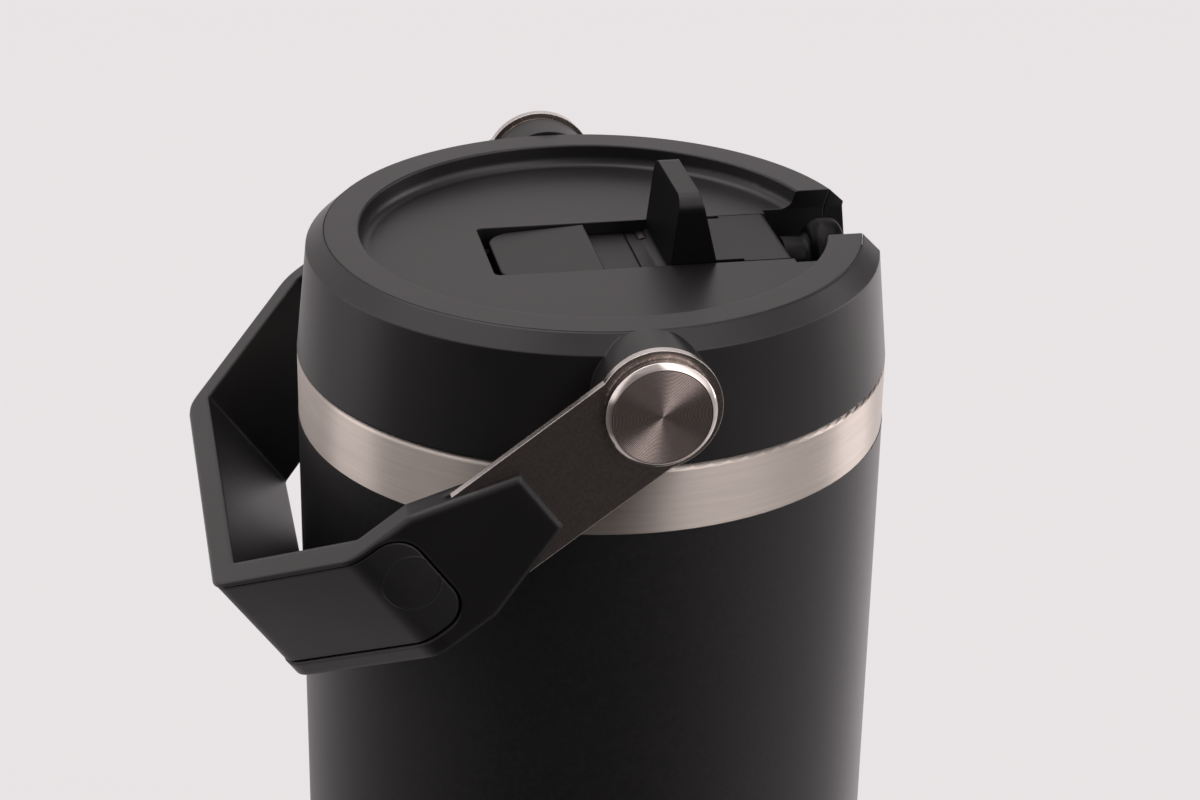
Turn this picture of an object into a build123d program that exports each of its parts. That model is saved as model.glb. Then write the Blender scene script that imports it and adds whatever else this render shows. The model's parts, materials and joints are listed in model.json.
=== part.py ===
from build123d import *
import math
import os

# Insulated tumbler with a screwed lid, a flip spout and a swing handle, in millimetres.
# +Z is up and the origin is the middle of the foot pad's underside. +X points to the
# mouthpiece. The handle turns about a line along Y and hangs on the -X side.

# Vessel
RIM_Z = 208.0            # height of the flat ring on top of the lid
BODY_R = 46.9            # outside of the coated wall
SHEET = 0.6              # steel sheet of both walls
NECK_INSET = 3.5         # coated wall's outside to the liner's bore
BAND_STEP = 0.1          # the bare band lies this far inside the coated wall
BAND_H = 10.3            # height of the bare band
LIP_FILLET = 0.6
BREAK_Z = 88.0           # the straight wall turns into the cone here
BREAK_FILLET = 60.0
FOOT_R = 37.5            # cone's radius carried down to the foot
FOOT_FILLET = 5.0
FOOT_LAND = 6.5          # width of the coated wall's underside
LINER_FLOOR_GAP = 3.8    # vacuum between the base disc and the liner
PAD_PROUD = 0.8          # the foot pad stands this far below the steel
PAD_GAP = 0.3
PAD_FILLET = 0.4
DIMPLE_R = 7.0           # dimple round the evacuation port
DIMPLE_H = 1.4
PORT_R = 1.2
BEAD_R = 3.6
GETTER_R = 6.0
GETTER_H = 1.5
GETTER_X = 16.0

# Lid outside
RING_INSET = 4.8         # coated wall's outside to the flat ring's outer edge
CHAMFER_H = 2.64
LID_EDGE_INSET = 1.9     # and to the lower edge of the chamfer
SKIRT_H = 19.7           # flat ring to the skirt's bottom
SKIRT_WALL = 1.8
LID_GAP = 0.4            # open line between the skirt and the band
PART_LINE = 0.08         # open line round the lid's top piece
LEDGE_H = 2.0
LEDGE_IN = 1.7           # ledge under the ring, inwards and outwards of the ring's edge
LEDGE_OUT = 1.2
RING_W = 5.4
RECESS_D = 3.6
RECESS_FILLET = 1.6
TOP_T = 2.0              # thickness of the recessed floor
TOP_EDGE = 0.25          # chamfer on the flat ring's inner edge
TOP_RIM_EDGE = 0.1       # and on its outer edge
RIB_WALLS = (1.7, 1.2)   # walls beside the hollow under the flat ring
RIB_TOP = 2.0

# Slot, trough and notch in the lid's top piece
SLOT_HALF_W = 9.9
SLOT_START = -17.1
SLOT_END_GAP = 6.5       # slot's end to the recess's wall
SLOT_FILLET = 1.0
TROUGH_WALL = 1.6
TROUGH_D = 13.2          # flat ring to the trough's floor
TROUGH_FLOOR = 1.3
NOTCH_TOP_HALF = 9.8
NOTCH_HALF = 11.4
NOTCH_LOW_HALF = 8.0
NOTCH_SIDE_D = 12.0      # depth where the notch's sides turn in
NOTCH_D = 16.5
NOTCH_WALL = 1.2
NOTCH_GAP = 0.3          # channel's walls to the skirt and its ledge
NOTCH_CUT_X = 60.0
RAIL_W = 1.2             # rails that the slot insert rests on
RAIL_H = 1.0

# Plug under the lid
PLUG_CLEAR = 1.8         # plug to the liner's bore
PLUG_WALL = 2.0
PLUG_D = 36.0            # flat ring to the plug's underside
PLUG_FLOOR = 2.0
FLANGE_LAP = 1.2         # plug's flange over the liner's lip
FLANGE_T = 1.8
SEAT_GAP = 0.2           # lid flange to the vessel's lip
PLUG_FILLET = 1.5
THREAD_PITCH = 5.0
THREAD_TURNS = 1.25
THREAD_TOP_D = 27.0      # flat ring to the thread's upper end
THREAD_W = 1.8
THREAD_CREST_GAP = 0.2
GASKET_D = 21.5          # flat ring to the gasket groove
GASKET_H = 3.0
GASKET_DEPTH = 0.8
GASKET_GAP = 0.1
GASKET_LIPS = 2
GASKET_LIP_H = 0.5
GASKET_BODY = 1.1
NECK_CLEAR = 0.2         # gasket's lips to the neck

# Spout, closed, with its axis along X
PIVOT_X = 9.6
PIVOT_D = 7.0            # flat ring to the spout's pivot
SPOUT_D = 8.6            # flat ring to the spout's axis
OPEN_ANGLE = 78.0
HUB_R = 7.0
HUB_TOP = 0.1            # the hub's wide part stops this far above the pivot
HUB_NECK_R = 2.9
HUB_FILLET = 1.4         # neck's flat into the fin
SPOUT_SIDE_GAP = 0.3
DUCT_R = 2.1
DUCT_WALL = 1.2
FIN_FOOT_X = (10.5, 17.8)
FIN_TOP_X = (11.8, 15.2)
FIN_TOP = 7.3            # above the flat ring
FIN_CORNER = 2.5
COVER_FILLET = 1.0       # upper edge of the cover's end
COVER_RELIEF = (22.3, 0.9)
POCKET_X = (17.0, 28.6)
POCKET_Y = (4.2, 8.0)
POCKET_ROOF = 1.8
STUB_R = 3.4
STUB_SHORT = 4.8         # stub's end to the mouthpiece's tip
PIN_R = 1.5
PIN_RUN = 0.05
PIN_IN = 2.8             # length of pin inside the lever
PIN_OUT = 1.5            # length of pin inside the trough's wall

# Mouthpiece
MOUTH_GAP = 0.3          # cover's end to the mouthpiece
MOUTH_INSET = 4.1        # coated wall's outside to the mouthpiece's tip
MOUTH_R = 7.4
MOUTH_NECK_R = 4.5
MOUTH_NECK_L = 4.4
MOUTH_SHOULDER = 2.8     # rounding from the neck's end to the full radius
MOUTH_BORE_R = 2.6
MOUTH_NOSE = 1.8
MOUTH_LIP = 0.5

# Spout seal and slot insert
SEAL_T = 2.5
SEAL_RUN = 0.05
SEAL_HALF_W = 7.5
SEAL_ANGLES = (178.0, 306.0)
PEDESTAL_X = (-1.6, 19.0)
PEDESTAL_SIDE_GAP = 0.6
PEDESTAL_STEP = 6.0      # the right-hand post stops this far below the pivot
INSERT_X = (-15.6, 0.2)
INSERT_TOP_D = (4.6, 3.7)  # flat ring to the insert's top, at its two ends
INSERT_LOW_D = 7.4
INSERT_SIDE_GAP = 0.25
INSERT_CORNER = 4.0
INSERT_EDGE = 0.3
SHELF_GAP = 0.2          # shelf to the spout's neck and to the seal
SHELF_D = 5.7
SHELF_T = 0.8

# Straw and vent
STRAW_R = 3.75
STRAW_WALL = 1.0
STRAW_GRIP = 9.0
STRAW_FOOT_Z = 12.0
STRAW_SLANT = 35.0
SOCKET_WALL = 1.6
VENT_X = -9.0
VENT_R = 1.6
NOZZLE_WALL = 1.5
VALVE_R = 5.0
VALVE_T = 0.8
VALVE_STEM = 5.0

# Handle pivot hardware, along Y from the lid outwards
HANDLE_D = 8.3           # flat ring to the handle's axis
BOSS_R = 8.7
BOSS_PROUD = 3.0         # bosses' faces past the coated wall
BOSS_FILLET = 0.8
INSERT_R = 6.0
INSERT_L = 6.7
SHANK_R = 4.1
BUSH_WALL = 0.95
BUSH_RUN = 0.05
BUSH_FLANGE_R = 8.2
BUSH_FLANGE_T = 0.5
STRAP_T = 1.3
STRAP_GAP = 0.05
WASHER_R = 8.0
WASHER_T = 0.3
BUTTON_R = 8.1
BUTTON_FACE_R = 7.0
BUTTON_H = 1.9
BUTTON_BEVEL = 0.8

# Handle, s along the arms from the pivot and t across them
EYE_R = 9.3
ARM_HALF_W = 8.55
GRIP_T = 4.4
GRIP_HALF_W = 10.6
GRIP_IN_S = 66.5         # pivot to the inside of the crossbar
BEND_S = 46.5
CROSS_HALF = 31.0        # half the crossbar between its bends
SLEEVE_S = 21.0
SLEEVE_FULL_S = 37.0
SLEEVE_TIP_HALF = 5.3
BEND_OUT_R = 5.0
BEND_IN_R = 1.2
GRIP_EDGE = 0.6
REST_GAP = 0.3           # crossbar to the vessel where the handle rests
PAD_T = 1.0
PAD_S = 39.0
PAD_SIDE = (-7.2, 9.7)
PAD_END_R = 4.5
PAD_LINE = 0.25
SIDE_CUT = 90.0

# Worked out
FLOOR_Z = RIM_Z - RECESS_D
SKIRT_Z = RIM_Z - SKIRT_H
SKIRT_R = BODY_R - BAND_STEP
NECK_R = BODY_R - NECK_INSET
FOOT_OPEN_R = FOOT_R - FOOT_LAND
PAD_R = FOOT_OPEN_R - PAD_GAP
RING_R = BODY_R - RING_INSET
LID_EDGE_R = BODY_R - LID_EDGE_INSET
LEDGE_R = RING_R - LEDGE_IN
LEDGE_OUT_R = RING_R + LEDGE_OUT
RECESS_R = RING_R - RING_W
RIB_R = (RECESS_R + RIB_WALLS[0], RING_R - RIB_WALLS[1])
SLOT_X = (SLOT_START, RECESS_R - SLOT_END_GAP)
NOTCH_OUT_X = LEDGE_OUT_R + NOTCH_GAP
PLUG_R = NECK_R - PLUG_CLEAR
FLANGE_R = NECK_R + FLANGE_LAP
MOUTH_X = (SLOT_X[1] + MOUTH_GAP, BODY_R - MOUTH_INSET)
MOUTH_SHOULDER_X = MOUTH_X[0] + MOUTH_NECK_L
STUB_X = MOUTH_X[1] - STUB_SHORT
BOSS_FACE = BODY_R + BOSS_PROUD
INSERT_FROM = BOSS_FACE - INSERT_L
LIP_Z = SKIRT_Z - LID_GAP
BAND_Z = LIP_Z - BAND_H
BAND_R = BODY_R - BAND_STEP
LINER_GAP = BODY_R - NECK_R - SHEET
BASE_DISC_Z = PAD_PROUD + SHEET
LINER_FLOOR_Z = BASE_DISC_Z + SHEET + LINER_FLOOR_GAP
PIVOT_Z = RIM_Z - PIVOT_D
SPOUT_Z = RIM_Z - SPOUT_D
LEVER_HALF_W = SLOT_HALF_W - SPOUT_SIDE_GAP
HANDLE_Z = RIM_Z - HANDLE_D
EYE_IN = BOSS_FACE + BUSH_FLANGE_T + 2 * STRAP_GAP
ARM_Y = EYE_IN + STRAP_T / 2
BEND_ANGLE = math.degrees(math.atan2(ARM_Y - CROSS_HALF, GRIP_IN_S + GRIP_T / 2 - BEND_S))
THREAD_H = (NECK_R - PLUG_R - THREAD_CREST_GAP) / 2
HANG = math.degrees(math.acos((BODY_R + REST_GAP) / math.hypot(GRIP_IN_S, GRIP_HALF_W))
                    - math.atan2(GRIP_HALF_W, GRIP_IN_S))
CROSS_S = GRIP_IN_S + GRIP_T / 2
PORT_ANGLE = 180 + math.degrees(math.asin((SPOUT_D - PIVOT_D) / HUB_R)) + OPEN_ANGLE
STRAW_X = PIVOT_X + HUB_R * math.cos(math.radians(PORT_ANGLE))
FAR = 200.0              # larger than anything here

# The handle's own plane: x along the arms, z across them
HANDLE_PLANE = Plane(
    origin=(0, 0, HANDLE_Z),
    x_dir=(-math.cos(math.radians(HANG)), 0, -math.sin(math.radians(HANG))),
    z_dir=(-math.sin(math.radians(HANG)), 0, math.cos(math.radians(HANG))),
)


def turned(points):
    """Solid turned about Z from (radius, height) points."""
    return revolve(Plane.XZ * make_face(Polyline(points, close=True)), Axis.Z)


def ring(outer, inner, low, high):
    """Plain ring about Z."""
    return turned([(inner, low), (outer, low), (outer, high), (inner, high)])


def block(x, y, z):
    """Box from three (low, high) pairs."""
    size = [high - low for low, high in (x, y, z)]
    middle = [(high + low) / 2 for low, high in (x, y, z)]
    return Pos(*middle) * Box(*size)


def rod_y(x, z, radius, low, high):
    """Cylinder along Y."""
    return Pos(x, (low + high) / 2, z) * Rot(90, 0, 0) * Cylinder(radius, high - low)


def rod_x(y, z, radius, low, high):
    """Cylinder along X."""
    return Pos((low + high) / 2, y, z) * Rot(0, 90, 0) * Cylinder(radius, high - low)


def rod_z(x, y, radius, low, high):
    """Cylinder along Z."""
    return Pos(x, y, (low + high) / 2) * Cylinder(radius, high - low)


def slab_y(points, half_width):
    """Outline in X and Z carried the same way to both sides of Y = 0."""
    face = Plane.XZ * make_face(Polyline(points, close=True))
    return extrude(face, amount=half_width, both=True)


def both_sides(piece):
    """A piece and its mirror image across the XZ plane."""
    return [piece, mirror(piece, Plane.XZ)]


def vessel_solid(inset, floor, top):
    """Vessel's outside drawn in by inset, from floor to top."""
    slope = math.atan2(BODY_R - FOOT_R, BREAK_Z)
    shift = inset / math.cos(slope)
    knee_z = (BODY_R - inset - FOOT_R + shift) / math.tan(slope)
    floor_r = FOOT_R - shift + floor * math.tan(slope)
    points = [(0, floor), (floor_r, floor), (BODY_R - inset, knee_z), (BODY_R - inset, top), (0, top)]
    face = make_face(Polyline(points, close=True))
    foot = face.vertices().filter_by(lambda v: abs(v.X - floor_r) < 0.01)
    face = fillet(foot, FOOT_FILLET - min(inset, FOOT_FILLET / 2))
    knee = face.vertices().filter_by(lambda v: abs(v.Y - knee_z) < 0.01)
    face = fillet(knee, BREAK_FILLET - inset)
    return revolve(Plane.XZ * face, Axis.Z)


def thread(radius, outward, top):
    """Screw ridge on a wall of the given radius, running down from top."""
    height = THREAD_PITCH * THREAD_TURNS
    path = Helix(pitch=THREAD_PITCH, height=height, radius=radius)
    side = 1 if outward else -1
    root = side * -0.15
    crest = side * THREAD_H
    half = THREAD_W / 2
    tip = THREAD_W / 5
    outline = Polyline([(root, -half), (root, half), (crest, tip), (crest, -tip)], close=True)
    start = Plane(origin=path @ 0, x_dir=(1, 0, 0), z_dir=path % 0)
    ridge = sweep(start * make_face(outline), path=path, is_frenet=True)
    return Pos(0, 0, top - height) * ridge


def make_outer_shell():
    wall = vessel_solid(0, PAD_PROUD, BAND_Z) - vessel_solid(SHEET, BASE_DISC_Z, BAND_Z + SHEET)
    return wall - rod_z(0, 0, FOOT_OPEN_R, 0, BASE_DISC_Z + SHEET)


def make_inner_liner():
    outside = vessel_solid(LINER_GAP, LINER_FLOOR_Z, LIP_Z)
    inside = vessel_solid(LINER_GAP + SHEET, LINER_FLOOR_Z + SHEET, LIP_Z + SHEET)
    lip = ring(BAND_R, NECK_R, LIP_Z - SHEET, LIP_Z)
    band = ring(BAND_R, BAND_R - SHEET, BAND_Z, LIP_Z)
    body = outside - inside + lip + band
    rims = body.edges().filter_by(GeomType.CIRCLE).group_by(Axis.Z)[-1]
    body = fillet(rims, LIP_FILLET)
    return body + thread(NECK_R, False, RIM_Z - THREAD_TOP_D)


def make_shell_base():
    low, high = BASE_DISC_Z, BASE_DISC_Z + SHEET
    edge = FOOT_R - FOOT_FILLET
    up = DIMPLE_H
    points = [(PORT_R, low + up), (DIMPLE_R - up - SHEET, low + up), (DIMPLE_R - SHEET, low), (edge, low),
              (edge, high), (DIMPLE_R, high), (DIMPLE_R - up, high + up), (PORT_R, high + up)]
    return turned(points)


def make_vacuum_seal():
    low = BASE_DISC_Z + DIMPLE_H
    points = [(0, low), (BEAD_R, low), (BEAD_R - 0.5, low - 0.6), (0, low - 0.9)]
    plug = rod_z(0, 0, PORT_R, low - 0.1, low + SHEET)
    return turned(points) + plug


def make_getter():
    puck = rod_z(GETTER_X, 0, GETTER_R, LINER_FLOOR_Z - GETTER_H, LINER_FLOOR_Z)
    return fillet(puck.edges().group_by(Axis.Z)[0], 0.4)


def make_base_pad():
    pad = rod_z(0, 0, PAD_R, 0, BASE_DISC_Z)
    pad = fillet(pad.edges().group_by(Axis.Z)[0], PAD_FILLET)
    dish = rod_z(0, 0, DIMPLE_R - SHEET - DIMPLE_H, BASE_DISC_Z - 0.3, BASE_DISC_Z)
    return pad - dish


def notch_outline(grow):
    """Notch's cross-section, eight-sided, as a face in the YZ plane."""
    slope = (NOTCH_HALF - NOTCH_TOP_HALF) / RECESS_D
    above = 6.0
    points = [
        (NOTCH_TOP_HALF + grow - slope * above, RIM_Z + above),
        (NOTCH_HALF + grow, FLOOR_Z),
        (NOTCH_HALF + grow, RIM_Z - NOTCH_SIDE_D),
        (NOTCH_LOW_HALF + grow, RIM_Z - NOTCH_D - grow),
    ]
    points += [(-y, z) for y, z in reversed(points)]
    return Plane.YZ * make_face(Polyline(points, close=True))


def notch_bar(grow, start, end):
    """Notch's cross-section carried along X from start to end."""
    return Pos(start, 0, 0) * extrude(notch_outline(grow), amount=end - start)


def skirt_inside(z):
    """Radius of the skirt's inside at a height."""
    low, high = SKIRT_Z, RIM_Z - RECESS_D - TOP_T - LEDGE_H
    part = (z - low) / (high - low)
    return (SKIRT_R - SKIRT_WALL) * (1 - part) + LEDGE_OUT_R * part


def make_lid_shell():
    ledge_z = RIM_Z - RECESS_D - TOP_T
    inner = RING_R + PART_LINE
    shell = turned([
        (SKIRT_R, SKIRT_Z), (LID_EDGE_R, RIM_Z - CHAMFER_H), (inner, RIM_Z - PART_LINE), (inner, ledge_z),
        (LEDGE_R, ledge_z), (LEDGE_R, ledge_z - LEDGE_H), (LEDGE_OUT_R, ledge_z - LEDGE_H),
        (SKIRT_R - SKIRT_WALL, SKIRT_Z),
    ])
    for boss in both_sides(rod_y(0, HANDLE_Z, BOSS_R, INSERT_FROM - 0.6, BOSS_FACE)):
        shell += boss
    shell -= turned([(0, ledge_z), (inner, ledge_z), (inner, RIM_Z + BOSS_R), (0, RIM_Z + BOSS_R)])
    for hole in both_sides(rod_y(0, HANDLE_Z, INSERT_R, INSERT_FROM - 2, FAR)):
        shell -= hole
    rims = shell.edges().filter_by(GeomType.CIRCLE).filter_by(
        lambda e: abs(abs(e.center().Y) - BOSS_FACE) < 0.01 and abs(e.radius - BOSS_R) < 0.01)
    shell = fillet(rims, BOSS_FILLET)
    room = ring(LEDGE_OUT_R, 0, ledge_z - LEDGE_H - 0.1, ledge_z + 0.1)
    shell -= notch_bar(NOTCH_WALL + NOTCH_GAP, SLOT_X[1], NOTCH_OUT_X) & room
    return shell - notch_bar(0, SLOT_X[1], NOTCH_CUT_X)


def make_lid_top():
    low = FLOOR_Z - TOP_T
    plate = turned([
        (0, FLOOR_Z), (RECESS_R, FLOOR_Z), (RECESS_R, RIM_Z), (RING_R, RIM_Z), (RING_R, low),
        (RIB_R[1], low), (RIB_R[1], RIM_Z - RIB_TOP), (RIB_R[0], RIM_Z - RIB_TOP), (RIB_R[0], low), (0, low),
    ])
    foot = plate.edges().filter_by(GeomType.CIRCLE).filter_by(
        lambda e: abs(e.radius - RECESS_R) < 0.01 and abs(e.center().Z - FLOOR_Z) < 0.01)
    plate = fillet(foot, RECESS_FILLET)
    for radius, size in ((RECESS_R, TOP_EDGE), (RING_R, TOP_RIM_EDGE)):
        brim = plate.edges().filter_by(GeomType.CIRCLE).filter_by(
            lambda e: abs(e.radius - radius) < 0.01 and abs(e.center().Z - RIM_Z) < 0.01)
        plate = chamfer(brim, size)
    outer_y = SLOT_HALF_W + TROUGH_WALL
    trough_z = RIM_Z - TROUGH_D
    box_low = trough_z - TROUGH_FLOOR
    plate += block((SLOT_X[0] - TROUGH_WALL, SLOT_X[1]), (-outer_y, outer_y), (box_low, low + 0.1))
    deep = RIM_Z - NOTCH_D - 2 * NOTCH_WALL
    channel = notch_bar(NOTCH_WALL, SLOT_X[1] - NOTCH_WALL, NOTCH_OUT_X)
    plate += channel & turned([
        (0, deep), (skirt_inside(RIM_Z - NOTCH_D) - NOTCH_GAP, deep),
        (LEDGE_OUT_R - NOTCH_GAP, low - NOTCH_GAP), (RIB_R[1], low - NOTCH_GAP), (RIB_R[1], low + 0.1),
        (0, low + 0.1),
    ])
    plate += channel & ring(RIB_R[1] + 0.5, RIB_R[0] - 0.5, low - 0.1, RIM_Z - RIB_TOP + 0.5)
    slot = block(SLOT_X, (-SLOT_HALF_W, SLOT_HALF_W), (trough_z, RIM_Z + 1))
    slot_ends = slot.edges().filter_by(Axis.Z).group_by(Axis.X)[0]
    plate -= fillet(slot_ends, SLOT_FILLET)
    plate -= notch_bar(0, SLOT_X[1], NOTCH_CUT_X)
    window = (PEDESTAL_X[0] - PEDESTAL_SIDE_GAP, PEDESTAL_X[1] + PEDESTAL_SIDE_GAP)
    plate -= block(window, (-SLOT_HALF_W, SLOT_HALF_W), (box_low - 1, trough_z + 1))
    rail_top = RIM_Z - INSERT_LOW_D
    rail_y = (SLOT_HALF_W - RAIL_W, SLOT_HALF_W + 0.1)
    rail = block((SLOT_X[0] - 0.1, PEDESTAL_X[0] - 1), rail_y, (rail_top - RAIL_H, rail_top))
    for piece in both_sides(rail):
        plate += piece
    for hole in both_sides(rod_y(PIVOT_X, PIVOT_Z, PIN_R, SLOT_HALF_W - 1, SLOT_HALF_W + PIN_OUT)):
        plate -= hole
    nozzle_low = RIM_Z - PLUG_D + PLUG_FLOOR
    plate += rod_z(VENT_X, 0, VENT_R + NOZZLE_WALL, nozzle_low, box_low + 0.1)
    return plate - rod_z(VENT_X, 0, VENT_R, nozzle_low - 1, trough_z + 0.1)


def make_lid_base():
    low = RIM_Z - PLUG_D
    inside = PLUG_R - PLUG_WALL
    flange_low = LIP_Z + SEAT_GAP
    cup = turned([
        (0, low), (PLUG_R, low), (PLUG_R, flange_low), (FLANGE_R, flange_low),
        (FLANGE_R, flange_low + FLANGE_T), (inside, flange_low + FLANGE_T), (inside, low + PLUG_FLOOR),
        (0, low + PLUG_FLOOR),
    ])
    cup = fillet(cup.edges().group_by(Axis.Z)[0], PLUG_FILLET)
    groove_top = RIM_Z - GASKET_D
    cup -= ring(PLUG_R + 1, PLUG_R - GASKET_DEPTH, groove_top - GASKET_H, groove_top)
    half = SLOT_HALF_W - PEDESTAL_SIDE_GAP
    left_top = RIM_Z - INSERT_LOW_D
    right_top = PIVOT_Z - PEDESTAL_STEP
    post = slab_y([
        (PEDESTAL_X[0], low + 1), (PEDESTAL_X[1], low + 1), (PEDESTAL_X[1], right_top), (PIVOT_X, right_top),
        (PIVOT_X, left_top), (PEDESTAL_X[0], left_top),
    ], half)
    cup += post - rod_y(PIVOT_X, PIVOT_Z, HUB_R + SEAL_RUN + SEAL_T, -half - 1, half + 1)
    core = (PEDESTAL_X[0] + 2.5, PEDESTAL_X[1] - 2.5)
    roof = PIVOT_Z - HUB_R - SEAL_T - 2.5
    hollow = block(core, (-half + 2, half - 2), (low - 1, roof))
    stem = rod_z(STRAW_X, 0, STRAW_R + SOCKET_WALL, low - STRAW_GRIP - 1, roof + 1)
    cup = cup - hollow + block(core, (-half + 1, half - 1), (low, low + PLUG_FLOOR)) + stem
    cup -= rod_z(STRAW_X, 0, STRAW_R, low - STRAW_GRIP - 2, low)
    cup -= rod_z(STRAW_X, 0, DUCT_R, low - 1, PIVOT_Z)
    cup -= rod_z(VENT_X, 0, VENT_R, low - 1, low + PLUG_FLOOR + 1)
    return cup + thread(PLUG_R, True, RIM_Z - THREAD_TOP_D)


def make_lid_gasket():
    top = RIM_Z - GASKET_D - GASKET_GAP
    low = top - GASKET_H + 2 * GASKET_GAP
    inside = PLUG_R - GASKET_DEPTH + GASKET_GAP
    back = inside + GASKET_BODY
    tip = NECK_R - NECK_CLEAR
    points = [(inside, top), (inside, low)]
    pitch = (top - low) / GASKET_LIPS
    for i in range(GASKET_LIPS):
        foot = low + i * pitch
        points += [(back, foot), (tip, foot + pitch / 2 - GASKET_LIP_H / 2), (tip, foot + pitch / 2),
                   (back, foot + pitch - GASKET_LIP_H / 2)]
    points += [(back, top)]
    return turned(points)


def make_slot_insert():
    half = SLOT_HALF_W - INSERT_SIDE_GAP
    tops, low = [RIM_Z - depth for depth in INSERT_TOP_D], RIM_Z - INSERT_LOW_D
    left, right = INSERT_X
    body = slab_y([(left, low), (right, low), (right, tops[1]), (left, tops[0])], half)
    body = fillet(body.edges().filter_by(Axis.Z).group_by(Axis.X)[0], INSERT_CORNER)
    body = fillet(body.faces().sort_by(Axis.Z)[-1].edges(), INSERT_EDGE)
    shelf_top = RIM_Z - SHELF_D
    shelf_low = shelf_top - SHELF_T
    shelf = block((right - 2, PIVOT_X), (-half, half), (shelf_low, shelf_top))
    body += shelf - rod_y(PIVOT_X, PIVOT_Z, HUB_NECK_R + SHELF_GAP, -FAR, FAR)
    seal_x = PIVOT_X - HUB_R - SEAL_RUN - SEAL_T - SHELF_GAP
    return body - block((seal_x, PIVOT_X), (-SLOT_HALF_W, SLOT_HALF_W), (low - 1, shelf_low))


def make_spout_seal():
    inner = HUB_R + SEAL_RUN
    outer = inner + SEAL_T
    middle = (SEAL_ANGLES[0] + SEAL_ANGLES[1]) / 2

    def at(radius, angle):
        turn = math.radians(angle)
        return (PIVOT_X + radius * math.cos(turn), PIVOT_Z + radius * math.sin(turn))

    start, end = SEAL_ANGLES
    outline = [
        ThreePointArc(at(inner, start), at(inner, middle), at(inner, end)),
        Line(at(inner, end), at(outer, end)),
        ThreePointArc(at(outer, end), at(outer, middle), at(outer, start)),
        Line(at(outer, start), at(inner, start)),
    ]
    saddle = extrude(Plane.XZ * make_face(outline), amount=SEAL_HALF_W, both=True)
    return saddle - rod_z(STRAW_X, 0, DUCT_R, PIVOT_Z - 3 * HUB_R, PIVOT_Z)


def make_vent_valve():
    low = RIM_Z - PLUG_D
    stem = rod_z(VENT_X, 0, VENT_R - 0.1, low - 0.1, low + VALVE_STEM)
    flap = rod_z(VENT_X, 0, VALVE_R, low - VALVE_T, low)
    flap = chamfer(flap.edges().group_by(Axis.Z)[0], 0.5)
    knob = rod_z(VENT_X, 0, VENT_R + 0.4, low - VALVE_T - 0.6, low - VALVE_T + 0.1)
    return stem + flap + knob


def make_straw():
    top = RIM_Z - PLUG_D - 0.1
    tube = rod_z(STRAW_X, 0, STRAW_R, STRAW_FOOT_Z, top)
    tube -= rod_z(STRAW_X, 0, STRAW_R - STRAW_WALL, STRAW_FOOT_Z - 1, top + 1)
    left, right = STRAW_X - STRAW_R - 1, STRAW_X + STRAW_R + 1
    rise = (right - left) * math.tan(math.radians(STRAW_SLANT))
    wedge = slab_y([(left, STRAW_FOOT_Z - 2), (right, STRAW_FOOT_Z - 2), (right, STRAW_FOOT_Z + rise),
                    (left, STRAW_FOOT_Z)], 2 * STRAW_R)
    return tube - wedge


def make_spout_pins():
    inner = LEVER_HALF_W - PIN_IN
    pin = rod_y(PIVOT_X, PIVOT_Z, PIN_R, inner, SLOT_HALF_W + PIN_OUT)
    return Compound(both_sides(pin))


def make_spout_lever():
    half = LEVER_HALF_W
    low = SPOUT_Z - DUCT_R - DUCT_WALL
    hub = rod_y(PIVOT_X, PIVOT_Z, HUB_R, -half, half)
    hub -= block((PIVOT_X - FAR, PIVOT_X + FAR), (-FAR, FAR), (PIVOT_Z + HUB_TOP, PIVOT_Z + FAR))
    neck_z = RIM_Z - SHELF_D
    neck = rod_y(PIVOT_X, PIVOT_Z, HUB_NECK_R, -half, half)
    neck -= block((PIVOT_X - FAR, PIVOT_X + FAR), (-FAR, FAR), (neck_z, PIVOT_Z + FAR))
    lever = hub + neck
    lever += block((FIN_FOOT_X[0], SLOT_X[1]), (-half, half), (low, FLOOR_Z))
    fin_low = FLOOR_Z - 1
    fin = slab_y([
        (FIN_FOOT_X[0], fin_low), (FIN_FOOT_X[0], FLOOR_Z), (FIN_TOP_X[0], RIM_Z + FIN_TOP),
        (FIN_TOP_X[1], RIM_Z + FIN_TOP), (FIN_FOOT_X[1], FLOOR_Z), (FIN_FOOT_X[1], fin_low),
    ], half)
    crown = fin.edges().filter_by(Axis.X).group_by(Axis.Z)[-1]
    fin = fillet(crown, FIN_CORNER)
    lever += fin
    inner = lever.edges().filter_by(Axis.Y).filter_by(
        lambda e: abs(e.center().X - FIN_FOOT_X[0]) < 0.01 and abs(e.center().Z - neck_z) < 0.01)
    lever = fillet(inner, HUB_FILLET)
    end = lever.edges().filter_by(Axis.Y).filter_by(
        lambda e: abs(e.center().X - SLOT_X[1]) < 0.01 and abs(e.center().Z - FLOOR_Z) < 0.01)
    lever = fillet(end, COVER_FILLET)
    relief_x = (FIN_FOOT_X[1] - 0.2, COVER_RELIEF[0])
    relief = block(relief_x, (half - COVER_RELIEF[1], half + 1), (low - 1, FLOOR_Z + 0.01))
    pocket = block(POCKET_X, POCKET_Y, (low - 1, FLOOR_Z - POCKET_ROOF))
    socket = rod_y(PIVOT_X, PIVOT_Z, PIN_R + PIN_RUN, half - PIN_IN - 0.2, half + 1)
    for cut in both_sides(relief) + both_sides(pocket) + both_sides(socket):
        lever -= cut
    lever += rod_x(0, SPOUT_Z, STUB_R, SLOT_X[1] - 1, STUB_X)
    return lever - rod_x(0, SPOUT_Z, DUCT_R, PIVOT_X - 2 * HUB_R, STUB_X + 1)


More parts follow.
